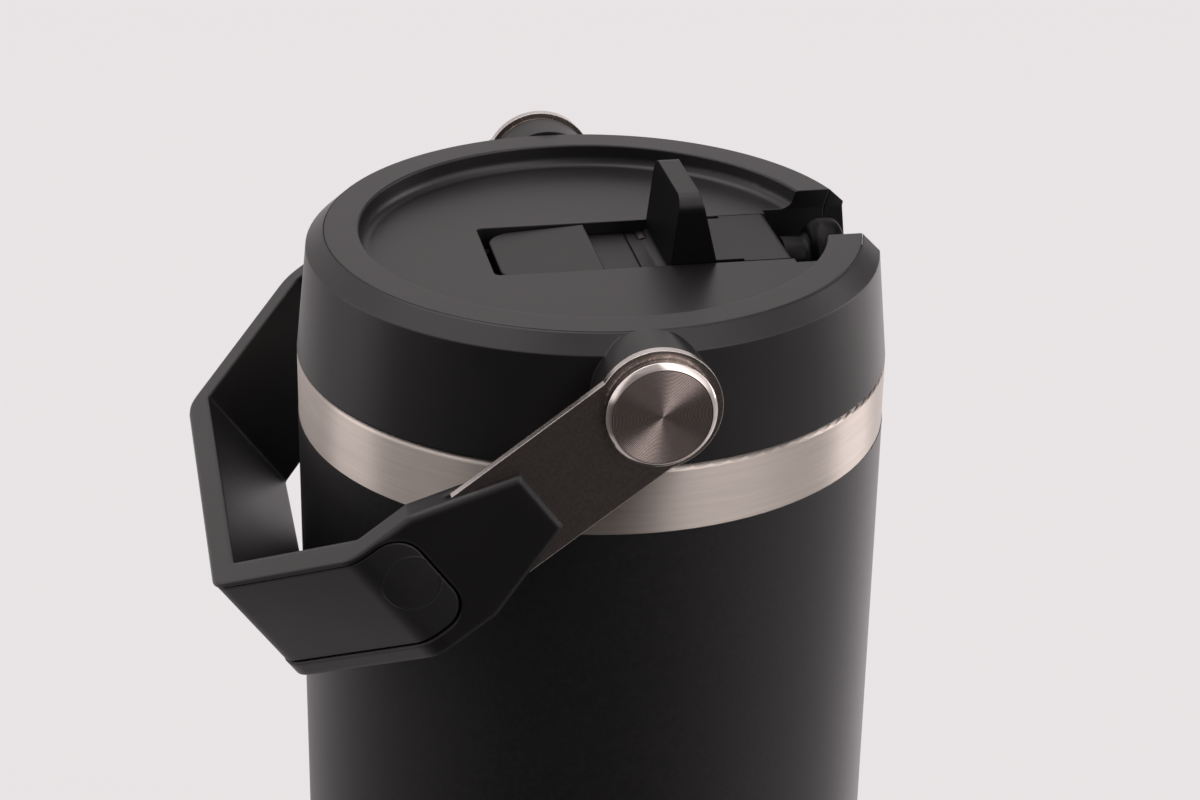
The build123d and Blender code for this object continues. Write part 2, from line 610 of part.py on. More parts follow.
def make_mouthpiece():
    start, end = MOUTH_X
    points = [
        (start, STUB_R), (STUB_X, STUB_R), (STUB_X, MOUTH_BORE_R), (end, MOUTH_BORE_R),
        (end, MOUTH_R), (MOUTH_SHOULDER_X, MOUTH_R), (MOUTH_SHOULDER_X, MOUTH_NECK_R), (start, MOUTH_NECK_R),
    ]
    face = make_face(Polyline(points, close=True))
    nose = face.vertices().filter_by(lambda v: abs(v.X - end) < 0.01 and v.Y > MOUTH_BORE_R + 1)
    face = fillet(nose, MOUTH_NOSE)
    mouth = face.vertices().filter_by(lambda v: abs(v.X - end) < 0.01 and v.Y < MOUTH_BORE_R + 0.1)
    face = fillet(mouth, MOUTH_LIP)
    shoulder = face.vertices().filter_by(
        lambda v: abs(v.X - MOUTH_SHOULDER_X) < 0.01 and v.Y > MOUTH_NECK_R + 1)
    face = fillet(shoulder, MOUTH_SHOULDER)
    return Pos(0, 0, SPOUT_Z) * revolve(face, Axis.X)


def make_pivot_button():
    """Left-hand button, whose head faces -Y; built facing +Z and then laid over."""
    seat = BOSS_FACE + BUSH_FLANGE_T + STRAP_T + 3 * STRAP_GAP + WASHER_T
    head = [(0, INSERT_FROM), (SHANK_R, INSERT_FROM), (SHANK_R, seat), (BUTTON_R, seat),
            (BUTTON_R, seat + BUTTON_H - BUTTON_BEVEL), (BUTTON_FACE_R, seat + BUTTON_H),
            (0, seat + BUTTON_H)]
    return Pos(0, 0, HANDLE_Z) * Rot(90, 0, 0) * turned(head)


def make_pivot_washer():
    seat = BOSS_FACE + BUSH_FLANGE_T + STRAP_T + 3 * STRAP_GAP
    flat = ring(WASHER_R, SHANK_R, seat, seat + WASHER_T)
    return Pos(0, 0, HANDLE_Z) * Rot(90, 0, 0) * flat


def make_pivot_bush():
    high = BOSS_FACE + BUSH_FLANGE_T + STRAP_T + 3 * STRAP_GAP
    sleeve = SHANK_R + BUSH_WALL
    points = [(SHANK_R, BOSS_FACE), (BUSH_FLANGE_R, BOSS_FACE), (BUSH_FLANGE_R, BOSS_FACE + BUSH_FLANGE_T),
              (sleeve, BOSS_FACE + BUSH_FLANGE_T), (sleeve, high), (SHANK_R, high)]
    return Pos(0, 0, HANDLE_Z) * Rot(90, 0, 0) * turned(points)


def make_pivot_insert():
    body = ring(INSERT_R, SHANK_R, INSERT_FROM - 0.4, BOSS_FACE)
    middle = (INSERT_FROM + BOSS_FACE) / 2
    body -= ring(INSERT_R + 1, INSERT_R - 0.5, middle - 1, middle + 1)
    return Pos(0, 0, HANDLE_Z) * Rot(90, 0, 0) * body


def handle_rail(out):
    """Half of the handle's plan line, moved outwards by out, as (s, y) points past the first."""
    turn = math.radians(BEND_ANGLE)
    first = (BEND_S + out * math.tan(turn / 2), ARM_Y + out)
    second = (CROSS_S + out, CROSS_HALF + out * math.tan((math.pi / 2 - turn) / 2))
    return [first, second]


def handle_band(start, low, high, half, inner_r, outer_r):
    """Band between two offsets of the handle's plan line, from s = start, half wide each way in t."""
    outer = handle_rail(high)
    inner = handle_rail(low)
    side = [(start, ARM_Y + high)] + outer
    back = [(start, ARM_Y + low)] + inner
    points = side + [(s, -y) for s, y in reversed(side)] + [(s, -y) for s, y in back] + list(reversed(back))
    face = make_face(Polyline(points, close=True))
    for corners, radius in ((outer, outer_r), (inner, inner_r)):
        picked = face.vertices().filter_by(
            lambda v: any(math.hypot(v.X - s, abs(v.Y) - y) < 0.01 for s, y in corners))
        face = fillet(picked, radius)
    return extrude(face, amount=half, both=True)


def side_shape(points, corner=0.0, corner_s=0.0):
    """Outline in s and t carried across the whole handle."""
    face = make_face(Polyline(points, close=True))
    if corner:
        face = fillet(face.vertices().filter_by(lambda v: abs(v.X - corner_s) < 0.01), corner)
    return extrude(Plane.XZ * face, amount=SIDE_CUT, both=True)


def local_strap():
    half_t = STRAP_T / 2
    strap = handle_band(0, -half_t, half_t, ARM_HALF_W, BEND_OUT_R - GRIP_T / 2, BEND_OUT_R)
    for eye in both_sides(rod_y(0, 0, EYE_R, ARM_Y - half_t, ARM_Y + half_t)):
        strap += eye
    hole = SHANK_R + BUSH_WALL + BUSH_RUN
    for cut in both_sides(rod_y(0, 0, hole, ARM_Y - STRAP_T, ARM_Y + STRAP_T)):
        strap -= cut
    return strap


def pad_window(grow):
    """Space of the grip pad, grown all round by the open line."""
    low, high = PAD_SIDE[0] - grow, PAD_SIDE[1] + grow
    start = PAD_S - grow
    end = GRIP_IN_S + 2 * GRIP_T
    outline = side_shape([(start, low), (end, low), (end, high), (start, high)], PAD_END_R + grow, start)
    half_t = GRIP_T / 2
    skin = handle_band(SLEEVE_S, half_t - PAD_T, half_t, GRIP_HALF_W, BEND_OUT_R, BEND_OUT_R + PAD_T)
    return skin & outline


def local_grip_core():
    half_t = GRIP_T / 2
    body = handle_band(SLEEVE_S, -half_t, half_t, GRIP_HALF_W, BEND_IN_R, BEND_OUT_R + PAD_T)
    end = GRIP_IN_S + 2 * GRIP_T
    body &= side_shape([
        (SLEEVE_S, -SLEEVE_TIP_HALF), (SLEEVE_FULL_S, -GRIP_HALF_W), (end, -GRIP_HALF_W),
        (end, GRIP_HALF_W), (SLEEVE_FULL_S, GRIP_HALF_W), (SLEEVE_S, SLEEVE_TIP_HALF),
    ])
    outer_edges = body.edges().filter_by(
        lambda e: all(abs(abs(v.Y) - (ARM_Y + half_t)) < 0.01 for v in e.vertices())
        and max(v.X for v in e.vertices()) < BEND_S + GRIP_T)
    body = chamfer(outer_edges, GRIP_EDGE)
    return body - pad_window(PAD_LINE) - local_strap()


def in_place(piece):
    """From the handle's own plane to where it hangs."""
    return HANDLE_PLANE.location * piece


def make_parts():
    parts = {
        "outer_shell": make_outer_shell(),
        "inner_liner": make_inner_liner(),
        "shell_base": make_shell_base(),
        "vacuum_seal": make_vacuum_seal(),
        "getter": make_getter(),
        "base_pad": make_base_pad(),
        "lid_shell": make_lid_shell(),
        "lid_top": make_lid_top(),
        "lid_base": make_lid_base(),
        "lid_gasket": make_lid_gasket(),
        "slot_insert": make_slot_insert(),
        "spout_seal": make_spout_seal(),
        "vent_valve": make_vent_valve(),
        "straw": make_straw(),
        "spout_pins": make_spout_pins(),
        "spout_lever": make_spout_lever(),
        "mouthpiece": make_mouthpiece(),
        "handle_strap": in_place(local_strap()),
        "grip_core": in_place(local_grip_core()),
        "grip_pad": in_place(pad_window(0)),
    }
    hardware = {
        "pivot_button": make_pivot_button,
        "pivot_washer": make_pivot_washer,
        "pivot_bush": make_pivot_bush,
        "pivot_insert": make_pivot_insert,
    }
    for name, make in hardware.items():
        left, right = both_sides(make())
        parts[name + "_left"] = left
        parts[name + "_right"] = right
    return parts


os.makedirs("parts", exist_ok=True)
for node, solid in make_parts().items():
    export_step(solid, f"parts/{node}.step")
print("hang angle", round(HANG, 3), "swing", round(180 + 2 * HANG, 2), "bend", round(BEND_ANGLE, 2))
print("straw x", round(STRAW_X, 3), "lip z", LIP_Z, "handle z", HANDLE_Z, "pivot", PIVOT_X, PIVOT_Z)
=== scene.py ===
# %% [markdown]
# # An insulated tumbler with a flip spout and a swing handle
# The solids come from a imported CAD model, which stays where it is. This lesson dresses that model: it
# models again the pieces that need soft or spun edges, gives every piece a finish, and lights it all
# on a pale table. Lengths are in metres, and only a piece's profile is drawn in millimetres. +Z is up
# and the mouthpiece points to +X.

# %% Load the frame
import json
import math
import bpy
from mathutils import Matrix, Vector


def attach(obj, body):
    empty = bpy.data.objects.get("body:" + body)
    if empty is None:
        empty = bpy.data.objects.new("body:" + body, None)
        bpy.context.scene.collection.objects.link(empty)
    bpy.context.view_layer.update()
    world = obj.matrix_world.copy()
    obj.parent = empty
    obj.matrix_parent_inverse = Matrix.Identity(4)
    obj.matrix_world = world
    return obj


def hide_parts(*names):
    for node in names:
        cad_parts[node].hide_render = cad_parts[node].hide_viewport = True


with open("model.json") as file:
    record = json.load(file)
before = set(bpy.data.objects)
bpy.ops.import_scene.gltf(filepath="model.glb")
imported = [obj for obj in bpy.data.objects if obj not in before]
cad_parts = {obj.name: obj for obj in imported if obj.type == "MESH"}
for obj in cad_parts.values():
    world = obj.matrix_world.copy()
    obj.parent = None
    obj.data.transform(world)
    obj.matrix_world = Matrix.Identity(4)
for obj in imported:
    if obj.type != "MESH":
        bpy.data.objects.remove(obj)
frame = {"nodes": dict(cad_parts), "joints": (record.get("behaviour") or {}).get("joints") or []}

MM = 0.001
NODES = frame["nodes"]
JOINTS = {joint["name"]: joint for joint in frame["joints"]}
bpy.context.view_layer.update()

# %% [markdown]
# ## The camera
# The photograph looks down on the lid with a long lens, a little from the left of the handle's axis.
# The lens, the distance and the small tilts were fitted to the lid's circles, so the camera is placed
# here by those few angles and one distance, and not by eye.

# %% Place the camera
RIM_Z = 208.0 * MM          # flat ring on top of the lid
LENS_MM = 84.99
SENSOR_MM = 36
CAMERA_DISTANCE = 445.06 * MM
CAMERA_HEIGHT_ANGLE = 0.372438
CAMERA_SIDE_ANGLE = math.radians(11.0)
CAMERA_PAN = -0.003436
CAMERA_TILT = -0.061881
CAMERA_ROLL = -0.016567
NEAR_CLIP = 20 * MM


def place_camera():
    """Camera that looks at the rim's middle, then pans, tilts and rolls by small angles."""
    level = CAMERA_DISTANCE * math.cos(CAMERA_HEIGHT_ANGLE)
    spot = Vector((0, -level, CAMERA_DISTANCE * math.sin(CAMERA_HEIGHT_ANGLE)))
    ahead = -spot.normalized()
    right = ahead.cross(Vector((0, 0, 1))).normalized()
    up = right.cross(ahead)
    pan = Matrix.Rotation(CAMERA_PAN, 3, up)
    ahead, right = pan @ ahead, pan @ right
    tilt = Matrix.Rotation(CAMERA_TILT, 3, right)
    ahead, up = tilt @ ahead, tilt @ up
    roll = Matrix.Rotation(CAMERA_ROLL, 3, ahead)
    right, up = roll @ right, roll @ up
    turn = Matrix((right, up, -ahead)).transposed()
    side = Matrix.Rotation(-CAMERA_SIDE_ANGLE, 3, "Z")
    bpy.ops.object.camera_add()
    camera = bpy.context.object
    camera.name = "view_camera"
    camera.data.sensor_width = SENSOR_MM
    camera.data.lens = LENS_MM
    camera.data.clip_start = NEAR_CLIP
    camera.matrix_world = Matrix.Translation(side @ spot + Vector((0, 0, RIM_Z))) @ (side @ turn).to_4x4()
    bpy.context.scene.camera = camera
    return camera


bpy.context.scene.view_settings.view_transform = "Standard"
print("camera at", [round(c, 3) for c in place_camera().location])

# %% [markdown]
# ## Shader sums in plain Python
# A finish is mostly arithmetic on patterns. The class below wraps one output of a node, so that
# `1 - mask * 0.2` adds the Math nodes by itself. Its method `sum` adds a Math node that Python has no
# sign for, and its method `node` adds any other node.

# %% The shader class


class Wire:
    """One output of a shader node, on which Python's arithmetic adds Math nodes."""

    def __init__(self, tree, socket=None):
        self.tree = tree
        self.socket = socket

    def node(self, kind, settings=None, inputs=None, output=0):
        """Adds a node, sets it up, joins or fills its inputs, and gives one output."""
        made = self.tree.nodes.new(kind)
        for name, value in (settings or {}).items():
            if name == "stops":
                fill_ramp(made.color_ramp, value)
            else:
                setattr(made, name, value)
        for name, value in (inputs or {}).items():
            if isinstance(value, Wire):
                self.tree.links.new(value.socket, made.inputs[name])
            else:
                made.inputs[name].default_value = value
        return Wire(self.tree, made.outputs[output])

    def sum(self, operation, first, second=0.0):
        return self.node("ShaderNodeMath", {"operation": operation}, {0: first, 1: second})

    def __add__(self, other):
        return self.sum("ADD", self, other)

    def __radd__(self, other):
        return self.sum("ADD", other, self)

    def __sub__(self, other):
        return self.sum("SUBTRACT", self, other)

    def __rsub__(self, other):
        return self.sum("SUBTRACT", other, self)

    def __mul__(self, other):
        return self.sum("MULTIPLY", self, other)

    def __rmul__(self, other):
        return self.sum("MULTIPLY", other, self)

    def __truediv__(self, other):
        return self.sum("DIVIDE", self, other)


def fill_ramp(ramp, stops):
    """Gives a colour ramp its stops, as (place, grey or colour) pairs."""
    while len(ramp.elements) < len(stops):
        ramp.elements.new(1.0)
    for element, (place, value) in zip(ramp.elements, stops):
        element.position = place
        element.color = (value, value, value, 1.0) if isinstance(value, float) else (*value, 1.0)


print("shader class ready")

# %% [markdown]
# ## Patterns and masks
# A pattern has to be read somewhere. A UV map would do, but CAD meshes have none. All of these read
# Object coordinates, which here are the real metres of the part, so a grain has one size on every
# piece and stays put when the piece moves. A mask tells where a finish changes, from the direction
# that a face looks in or from a distance.

# %% Helpers for patterns
# Outputs that are read from the Texture Coordinate, Geometry and Light Path nodes
GENERATED, OBJECT_NORMAL, OBJECT_SPOT = 0, 1, 3
SURFACE_NORMAL, BACKFACING = 1, 6
CAMERA_RAY = 0


def object_spot(wire):
    """Where the surface is, in the part's metres."""
    return wire.node("ShaderNodeTexCoord", output=OBJECT_SPOT)


def component(wire, vector, index):
    """The x, y or z of a vector, by index."""
    return wire.node("ShaderNodeSeparateXYZ", None, {0: vector}, output=index)


def facing(wire, index):
    """How far a face looks along x, y or z."""
    return component(wire, wire.node("ShaderNodeTexCoord", output=OBJECT_NORMAL), index)


def noise(wire, vector, scale, detail=2.0, rough=0.5):
    """Grey noise from 0 to 1."""
    return wire.node("ShaderNodeTexNoise", None,
                     {"Vector": vector, "Scale": scale, "Detail": detail, "Roughness": rough})


def fade(wire, value, start, end, top=1.0, kind="LINEAR"):
    """Goes from 0 where a value is at start to top where it is at end."""
    return wire.node("ShaderNodeMapRange", {"interpolation_type": kind},
                     {"Value": value, "From Min": start, "From Max": end, "To Max": top})


def tones(wire, pattern, *stops):
    """Colours along a pattern, from (place, colour) pairs."""
    return wire.node("ShaderNodeValToRGB", {"stops": stops}, {0: pattern})


def scaled(colour, share):
    return tuple(min(1.0, share * c) for c in colour)


def mix_colours(wire, share, first, second, how="MIX"):
    """Mixes two colours; a Mix node has them on sockets 6 and 7 and gives a colour on its output 2."""
    return wire.node("ShaderNodeMix", {"data_type": "RGBA", "blend_type": how},
                     {0: share, 6: first, 7: second}, output=2)


def around(wire, centre=(0, 0, 0), axis="Z"):
    """Angle round an axis, distance from it and place along it, for patterns on turned surfaces."""
    spot = wire.node("ShaderNodeVectorMath", {"operation": "SUBTRACT"}, {0: object_spot(wire), 1: centre})
    x, y, z = [component(wire, spot, index) for index in ((0, 1, 2) if axis == "Z" else (0, 2, 1))]
    return wire.sum("ARCTAN2", y, x), wire.sum("SQRT", x * x + y * y), z


print("pattern helpers ready")

# %% [markdown]
# ## Starting and ending a finish
# Each finish starts from Blender's own surface shader. Fine relief goes into its Normal, over a Bevel
# node that rounds the sharp CAD edges to the eye, because a real moulded or folded edge always
# catches a thin line of light.

# %% Helpers for finishes
PITCH_BLACK = (0.002, 0.002, 0.002)
BEVEL_SAMPLES = 6


def new_finish(name):
    """Empty material, its wire and its surface shader's node."""
    material = bpy.data.materials.new(name)
    material.use_nodes = True
    tree = material.node_tree
    return material, Wire(tree), tree.nodes["Principled BSDF"]


def join(wire, shader, socket):
    """Joins a wire to one of the surface shader's sockets."""
    wire.tree.links.new(wire.socket, shader.inputs[socket])


def bump(wire, height, distance, strength=1.0, edge=0.0):
    """Normal from a height, over edges rounded by a small radius."""
    inputs = {"Height": height, "Distance": distance, "Strength": strength}
    if edge:
        inputs["Normal"] = wire.node("ShaderNodeBevel", {"samples": BEVEL_SAMPLES}, {"Radius": edge})
    return wire.node("ShaderNodeBump", None, inputs)


def mix_shaders(wire, share, first, second):
    return wire.node("ShaderNodeMixShader", None, {0: share, 1: first, 2: second})


def show(wire, surface):
    """Sends a surface to the material's output."""
    wire.tree.links.new(surface.socket, wire.tree.nodes["Material Output"].inputs["Surface"])


def dull_and_shade(wire, shader, share):
    """Mixes black, unpolished diffuse into a surface: less gloss on a dull material, painted shade where a
    mask picks faces.
    """
    black = wire.node("ShaderNodeBsdfDiffuse", None, {"Color": (*PITCH_BLACK, 1)})
    show(wire, mix_shaders(wire, share, Wire(wire.tree, shader.outputs[0]), black))


print("finish helpers ready")

# %% [markdown]
# ## Black plastic
# The lid, the spout and the grip are moulded in black plastic with a fine matte grain. It isn't pure
# black: its gloss spreads the light of the room, so the roughness matters more than the colour. A
# slow noise makes the roughness uneven, as where hands have touched it, and a fine one gives the
# grain its bump. A picture of a grain is the usual way, but noise shows no seam and never repeats.
# The spout's upright wall faces and the inside of the grip look darker than their tops, so painted
# shade, a share of black diffuse chosen by the direction that a face looks in, darkens them.

# %% The plastics
GRAIN_SCALE = 3500.0
HANDLED_SCALE = 60.0
# Facings between which the painted shade on upright faces and on the grip's inside fades in
WALL_SHADE_TILT = (0.5, 0.2)        # how far a face looks up where its wall starts and ends to be dulled
INSIDE_SHADE_FACING = (0.6, 0.9)         # and how far it looks along +X


def make_plastic(name, colour, roughness, grain, specular=0.5, edge=0.25 * MM, wall_shade=0.0, inside=0.0):
    """Moulded plastic, with painted shade, a share of black diffuse, on upright faces and on faces along +X.
    """
    material, wire, shader = new_finish(name)
    fine = noise(wire, object_spot(wire), GRAIN_SCALE, 3.0, 0.6)
    slow = noise(wire, object_spot(wire), HANDLED_SCALE, 3.0, 0.6)
    join(tones(wire, slow, (0.3, scaled(colour, 0.85)), (0.7, scaled(colour, 1.15))), shader, "Base Color")
    join(roughness + 0.08 * (slow - 0.5) + 0.04 * (fine - 0.5), shader, "Roughness")
    join(bump(wire, fine, grain, 0.5, edge), shader, "Normal")
    shader.inputs["Specular IOR Level"].default_value = specular
    # Painted shade: black diffuse mixed into upright faces, and into faces that look along +X
    if wall_shade:
        dull_and_shade(wire, shader, wall_shade * fade(wire, wire.sum("ABSOLUTE", facing(wire, 2)), *WALL_SHADE_TILT))
    if inside:
        dull_and_shade(wire, shader, inside * fade(wire, facing(wire, 0), *INSIDE_SHADE_FACING))
    return material


LID_PLASTIC = make_plastic("lid_plastic", (0.008, 0.0076, 0.0076), 0.35, grain=0.02 * MM,
                           specular=0.44, edge=0.32 * MM)
# The spout's upright faces carry painted shade.
SPOUT_PLASTIC = make_plastic("spout_plastic", (0.007, 0.0066, 0.0066), 0.45, grain=0.02 * MM,
                             specular=0.40, edge=0.4 * MM, wall_shade=0.7)
INNER_PLASTIC = make_plastic("inner_plastic", (0.03, 0.03, 0.031), 0.35, grain=0.01 * MM)
# The grip's faces that look along +X, towards the vessel, carry painted shade.
GRIP_PLASTIC = make_plastic("grip_plastic", (0.007, 0.0065, 0.0065), 0.36, grain=0.02 * MM,
                            edge=0.9 * MM, inside=0.5)
NYLON = make_plastic("nylon", (0.62, 0.60, 0.55), 0.45, grain=0.01 * MM)
print("plastics", [m.name for m in (LID_PLASTIC, SPOUT_PLASTIC, INNER_PLASTIC, GRIP_PLASTIC, NYLON)])

# %% [markdown]
# ## Powder coat
# The body is sprayed with powder that melts into a satin coat. Up close it has the relief of very
# fine orange peel. A second, clear layer of gloss could lie over it, as on a car, but the real coat
# is a single one, so one noise drives its colour, its roughness and its bump together.

# %% The coat
COAT_DARK, COAT_PALE = (0.0090, 0.0088, 0.0092), (0.0140, 0.0137, 0.0142)
PEEL_SCALE = 1400.0
CLOUD_SCALE = 35.0


def make_coat():
    material, wire, shader = new_finish("powder_coat")
    peel = noise(wire, object_spot(wire), PEEL_SCALE, 4.0, 0.55)
    slow = noise(wire, object_spot(wire), CLOUD_SCALE, 2.0, 0.5)
    join(tones(wire, peel, (0.35, COAT_DARK), (0.65, COAT_PALE)), shader, "Base Color")
    join(0.37 + 0.06 * (slow - 0.5) + 0.08 * (peel - 0.5), shader, "Roughness")
    join(bump(wire, peel, 0.02 * MM, 0.6), shader, "Normal")
    return material


POWDER_COAT = make_coat()
print("coat", POWDER_COAT.name)

# %% [markdown]
# ## Silicone and rubber
# The seals and the mouthpiece are silicone, and the grip has a softer panel. Both are duller than the
# plastic. The panel shows a faint round mark of its mould near each arm, a low ridge on a circle
# about a line along Y. That is only a distance from a line, so it needs no mesh.

# %% The soft finishes
SOFT_GRAIN_SCALE = 5000.0
SOFT_CLOUD_SCALE = 90.0
SOFT_EDGE = 0.3 * MM
MARK_R = 4.2 * MM
MARK_HALF_WIDTH = 0.3 * MM
MARK_HEIGHT = 7.0           # times the height of the grain
PANEL_MARK = (-35.8 * MM, 0, 175.7 * MM)


def make_rubber(name, colour, roughness, specular=0.5, dullness=0.0, mark=None):
    """Rubber, with a faint round moulding mark about a line along Y where one is given."""
    material, wire, shader = new_finish(name)
    fine = noise(wire, object_spot(wire), SOFT_GRAIN_SCALE, 2.0, 0.5)
    slow = noise(wire, object_spot(wire), SOFT_CLOUD_SCALE, 3.0, 0.6)
    join(tones(wire, slow, (0.3, scaled(colour, 0.8)), (0.7, scaled(colour, 1.2))), shader, "Base Color")
    join(roughness + 0.1 * (slow - 0.5), shader, "Roughness")
    height = fine
    if mark:
        from_ring = wire.sum("ABSOLUTE", around(wire, mark, "Y")[1] - MARK_R)
        height = fine + fade(wire, from_ring, MARK_HALF_WIDTH, 0.0, MARK_HEIGHT, "SMOOTHSTEP")
    join(bump(wire, height, 0.015 * MM, 0.5, SOFT_EDGE), shader, "Normal")
    shader.inputs["Specular IOR Level"].default_value = specular
    if dullness:
        dull_and_shade(wire, shader, dullness)
    return material


SILICONE = make_rubber("silicone", (0.014, 0.014, 0.0145), 0.5)
MOUTH_SILICONE = make_rubber("mouth_silicone", (0.003, 0.003, 0.003), 0.30, specular=0.3, dullness=0.65)
GRIP_RUBBER = make_rubber("grip_rubber", (0.009, 0.0087, 0.0087), 0.46, mark=PANEL_MARK)
print("soft finishes", [m.name for m in (SILICONE, MOUTH_SILICONE, GRIP_RUBBER)])

# %% [markdown]
# ## The straw's plastic
# The straw is a cloudy, clear plastic. Plain glass would look too clean for a drawn tube, so a share
# of its light stays on the surface, and a noise makes that surface rougher in places.

# %% The clear plastic
STRAW_CLOUD_SCALE = 120.0
STRAW_CLEARNESS = 0.75


def make_clear():
    material, wire, shader = new_finish("clear_plastic")
    cloud = noise(wire, object_spot(wire), STRAW_CLOUD_SCALE, 2.0, 0.5)
    join(0.22 + 0.1 * cloud, shader, "Roughness")
    shader.inputs["Base Color"].default_value = (0.86, 0.88, 0.89, 1)
    shader.inputs["Transmission Weight"].default_value = STRAW_CLEARNESS
    return material


CLEAR_PLASTIC = make_clear()
print("straw", CLEAR_PLASTIC.name)

# %% [markdown]
# ## Turned and spun steel
# The bare band was turned with an abrasive, so its fine lines run round it. Noise that is stretched
# round the axis gives those lines, as a bump and as small changes of roughness, and on the band the
# gloss is stretched up and down too, across the lines. A turned wall has its lines stacked along the
# axis, and a spun face has them by radius.

# %% The turned and spun steels
LINE_STRETCH = 6.0          # noise cells for each radian round the axis
BROAD_STRETCH = 2.0
BROAD_LINES = 0.15          # share of the fine lines' count
ACROSS = 0.25               # quarter turn, so that the gloss stretches across the lines


def make_steel(name, colour, roughness, centre=(0, 0, 0), axis="Z", along="Z", depth=0.006 * MM,
               lines=9000.0, stretch=0.0):
    """Steel with lines round an axis: stacked along it on a turned wall, by radius on a spun face."""
    material, wire, shader = new_finish(name)
    angle, radius, height = around(wire, centre, axis)
    step = height if along == "Z" else radius
    fine_spot = wire.node("ShaderNodeCombineXYZ", None, {0: angle * LINE_STRETCH, 1: step * lines})
    fine = noise(wire, fine_spot, 1.0, 4.0, 0.7)
    broad_spot = wire.node("ShaderNodeCombineXYZ", None,
                           {0: angle * BROAD_STRETCH, 1: step * lines * BROAD_LINES})
    pattern = 0.6 * fine + 0.4 * noise(wire, broad_spot, 1.0)
    tone = tones(wire, pattern, (0.25, scaled(colour, 0.82)), (0.75, scaled(colour, 1.1)))
    join(tone, shader, "Base Color")
    join(roughness + 0.16 * (fine - 0.5), shader, "Roughness")
    join(bump(wire, fine, depth), shader, "Normal")
    shader.inputs["Metallic"].default_value = 1.0
    shader.inputs["Anisotropic"].default_value = stretch
    shader.inputs["Anisotropic Rotation"].default_value = ACROSS
    return material


BUTTON_CENTRE = Vector(JOINTS["handle_swing"]["pos_m"])
BAND_STEEL = make_steel("band_steel", (0.64, 0.585, 0.53), 0.42, depth=0.004 * MM, stretch=0.97)
INNER_STEEL = make_steel("inner_steel", (0.60, 0.58, 0.55), 0.38, lines=3000.0)
PIN_STEEL = make_steel("pin_steel", (0.10, 0.095, 0.09), 0.45)
POLISHED_STEEL = make_steel("polished_steel", (0.80, 0.74, 0.69), 0.14, depth=0.001 * MM)
PLAIN_STEEL = make_steel("plain_steel", (0.60, 0.59, 0.57), 0.22, lines=4000.0)
BUTTON_STEEL = make_steel("button_steel", (0.25, 0.210, 0.190), 0.22, BUTTON_CENTRE, "Y", "radius",
                          depth=0.001 * MM, lines=4000.0)
BRASS = make_steel("brass", (0.72, 0.52, 0.24), 0.3)
print("steels", [m.name for m in (BAND_STEEL, INNER_STEEL, PIN_STEEL, POLISHED_STEEL, PLAIN_STEEL)])
print("and", BUTTON_STEEL.name, BRASS.name)

# %% [markdown]
# ## The strap's steel
# The handle's strap is flat stock with a dark flecked face. Its cut sides were polished, and so were
# its edges, so they are bright. A side is known by the way that it looks, since the faces look along
# Y and the sides don't. An edge is known where the rounded normal leaves the true one.

# %% The strap's steel
STRAP_DARK, STRAP_PALE, STRAP_BRIGHT = (0.30, 0.26, 0.24), (0.52, 0.45, 0.41), (0.70, 0.66, 0.62, 1)
STRAP_EDGE = 0.22 * MM
FLECK_SCALE = 1300.0
CUT_SIDE = (0.5, 0.3)       # how far a side looks along Y, from dark to bright
BENT = (0.985, 0.93)        # how near the rounded normal is to the true one, from dark to bright


def make_strap_steel():
    material, wire, shader = new_finish("strap_steel")
    fleck = noise(wire, object_spot(wire), FLECK_SCALE, 4.0, 0.75)
    spots = tones(wire, fleck, (0.46, 0.0), (0.66, 1.0))
    face = tones(wire, spots, (0.0, STRAP_DARK), (1.0, STRAP_PALE))
    cut = fade(wire, wire.sum("ABSOLUTE", facing(wire, 1)), *CUT_SIDE)
    rounded = wire.node("ShaderNodeBevel", {"samples": 8}, {"Radius": STRAP_EDGE})
    level = wire.node("ShaderNodeNewGeometry", output=SURFACE_NORMAL)
    bend = wire.node("ShaderNodeVectorMath", {"operation": "DOT_PRODUCT"}, {0: rounded, 1: level}, output=1)
    bright = wire.sum("MAXIMUM", cut, fade(wire, bend, *BENT))
    join(mix_colours(wire, bright, face, STRAP_BRIGHT), shader, "Base Color")
    join(0.32 - 0.08 * spots - 0.08 * bright, shader, "Roughness")
    join(bump(wire, fleck, 0.008 * MM, 0.7, STRAP_EDGE), shader, "Normal")
    shader.inputs["Metallic"].default_value = 1.0
    return material


STRAP_STEEL = make_strap_steel()
print("strap", STRAP_STEEL.name)

# %% [markdown]
# ## Finishes on the CAD pieces
# Most pieces have their right shape in the CAD model. To model them again would only copy it, so
# they stay as they are and take a finish here.

# %% Give each node its finish
FINISHES = {
    "outer_shell": POWDER_COAT, "inner_liner": BAND_STEEL, "shell_base": INNER_STEEL,
    "vacuum_seal": INNER_STEEL, "getter": INNER_STEEL, "base_pad": SILICONE, "lid_shell": LID_PLASTIC,
    "lid_top": LID_PLASTIC, "lid_base": INNER_PLASTIC, "lid_gasket": SILICONE, "slot_insert": SPOUT_PLASTIC,
    "spout_seal": SILICONE, "vent_valve": SILICONE, "straw": CLEAR_PLASTIC, "spout_pins": PIN_STEEL,
    "spout_lever": SPOUT_PLASTIC, "mouthpiece": SILICONE, "handle_strap": STRAP_STEEL,
    "grip_core": GRIP_PLASTIC, "grip_pad": GRIP_RUBBER,
    "pivot_button_left": BUTTON_STEEL, "pivot_button_right": BUTTON_STEEL,
    "pivot_washer_left": PLAIN_STEEL, "pivot_washer_right": PLAIN_STEEL,
    "pivot_bush_left": NYLON, "pivot_bush_right": NYLON,
    "pivot_insert_left": BRASS, "pivot_insert_right": BRASS,
}
for node_name, finish in FINISHES.items():
    data = NODES[node_name].data
    data.materials.clear()
    data.materials.append(finish)
print("nodes with a finish", len(FINISHES), "of", len(NODES))

